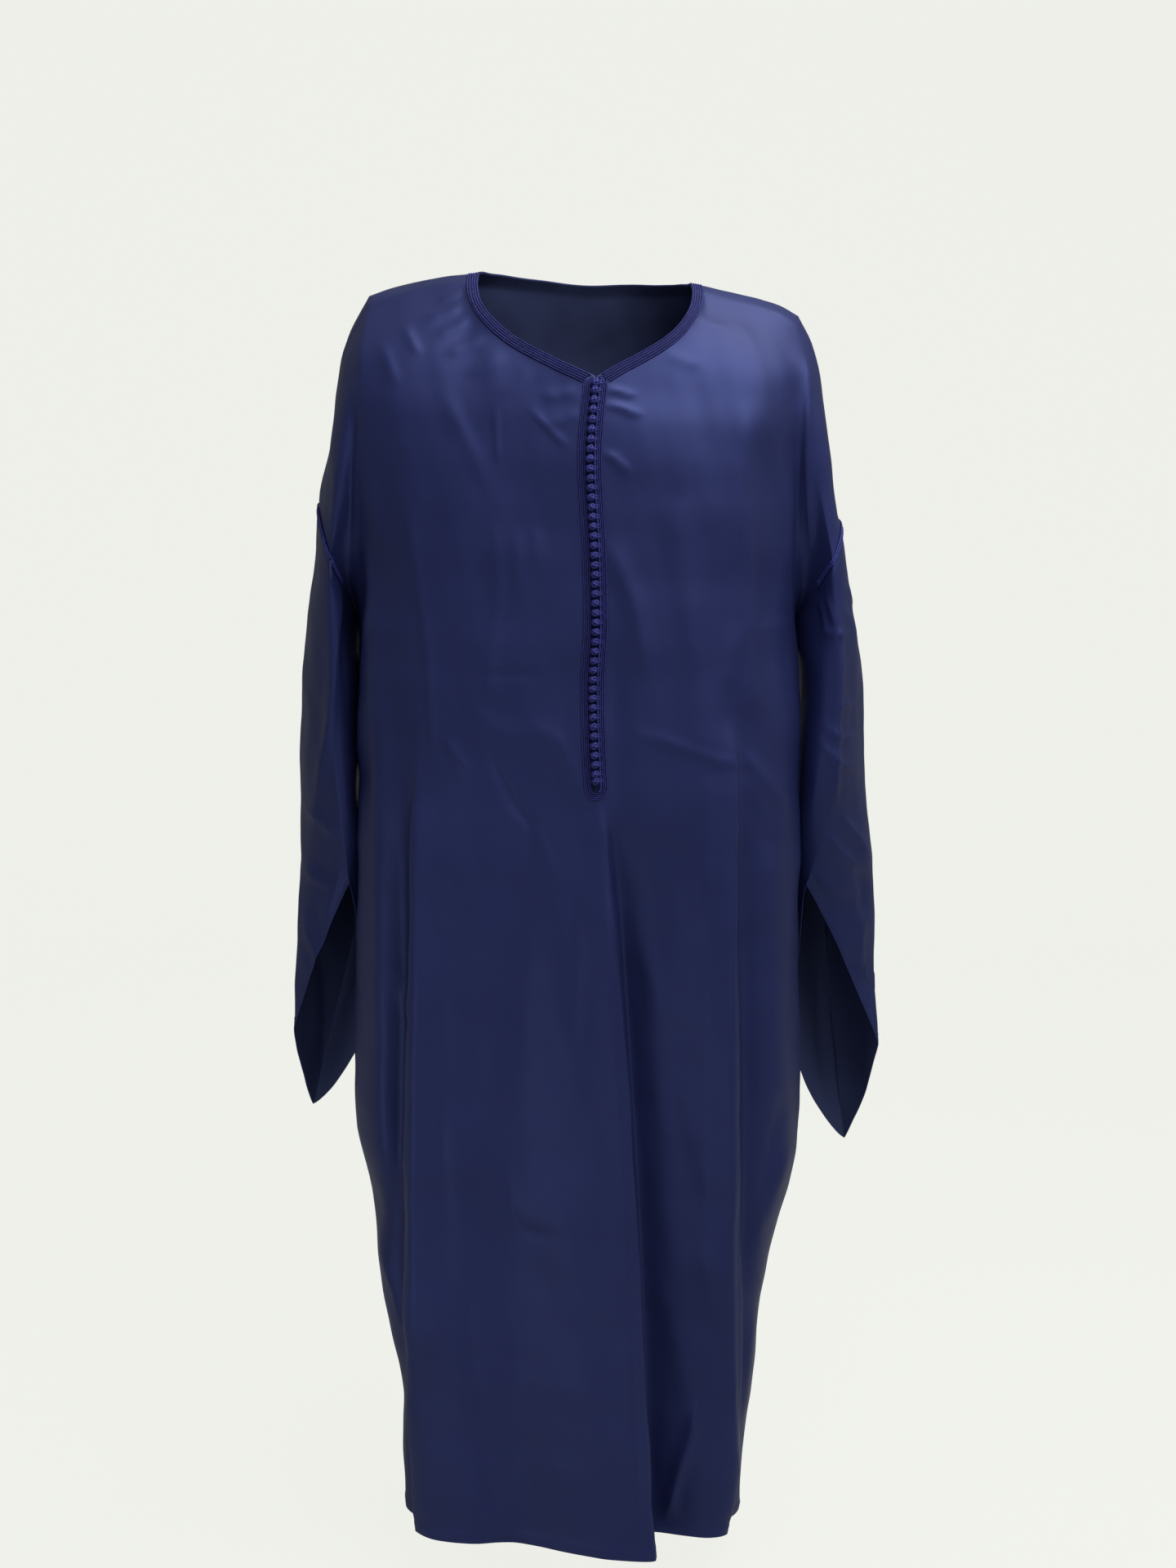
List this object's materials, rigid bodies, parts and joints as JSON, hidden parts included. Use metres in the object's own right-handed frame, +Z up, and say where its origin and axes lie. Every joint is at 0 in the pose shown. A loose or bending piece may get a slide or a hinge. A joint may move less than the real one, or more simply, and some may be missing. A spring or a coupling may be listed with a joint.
{
  "type": "djellaba",
  "caption": "Long satin djellaba in its worn shape, with dropped shoulders, wide open sleeves, a braided neck and slit, and a row of small knotted balls.",
  "frame": {"origin": "at the height of the shoulders, midway between them, where the wearer's shoulders hold the robe", "axes": "+Z up, -Y towards the front of the robe, +X towards the side that is on the right of the picture"},
  "size_m": [0.7081, 0.3613, 1.4709],
  "materials": {
    "satin": "satin",
    "braid": "matte",
    "knot": "matte"
  },
  "bodies": {
    "root": {"front_panel": "satin", "back_panel": "satin", "sleeve_left": "satin", "sleeve_right": "satin", "neck_braid": "braid", "slit_braid": "braid", "armhole_cord_left": "braid", "armhole_cord_right": "braid", "button_01": "knot", "button_02": "knot", "button_03": "knot", "button_04": "knot", "button_05": "knot", "button_06": "knot", "button_07": "knot", "button_08": "knot", "button_09": "knot", "button_10": "knot", "button_11": "knot", "button_12": "knot", "button_13": "knot", "button_14": "knot", "button_15": "knot", "button_16": "knot", "button_17": "knot", "button_18": "knot", "button_19": "knot", "button_20": "knot", "button_21": "knot", "button_22": "knot", "button_23": "knot", "button_24": "knot", "button_25": "knot", "button_26": "knot", "button_27": "knot", "button_28": "knot", "button_29": "knot", "button_30": "knot", "button_31": "knot", "button_32": "knot", "button_33": "knot", "button_34": "knot", "button_35": "knot", "button_36": "knot", "button_37": "knot", "button_38": "knot", "button_39": "knot", "button_40": "knot", "button_41": "knot", "button_42": "knot", "button_43": "knot"}
  },
  "joints": []
}
